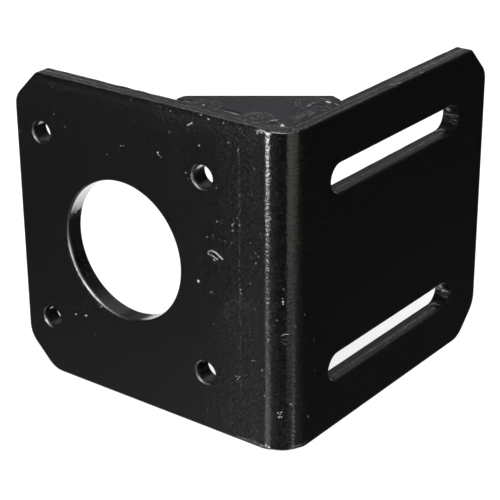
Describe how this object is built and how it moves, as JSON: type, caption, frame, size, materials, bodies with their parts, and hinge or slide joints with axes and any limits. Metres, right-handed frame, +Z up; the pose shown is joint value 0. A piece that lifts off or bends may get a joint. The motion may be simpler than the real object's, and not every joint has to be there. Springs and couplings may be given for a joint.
{
  "type": "motor mounting bracket",
  "caption": "Right-angle folded steel bracket with a round motor pilot opening, motor screw holes, long adjustment slots and welded corner gussets.",
  "frame": {"origin": "centre of the pilot bore, on the motor plate's outer face", "axes": "+X along the motor plate towards the fold, +Y from the motor plate's outer face into the corner between the plates, +Z up along the fold"},
  "size_m": [0.0513, 0.0526, 0.0499],
  "materials": {
    "black_paint": "gloss"
  },
  "bodies": {
    "root": {"folded_bracket": "black_paint", "top_gusset": "black_paint", "bottom_gusset": "black_paint", "top_weld_spots": "black_paint", "bottom_weld_spots": "black_paint"}
  },
  "joints": []
}
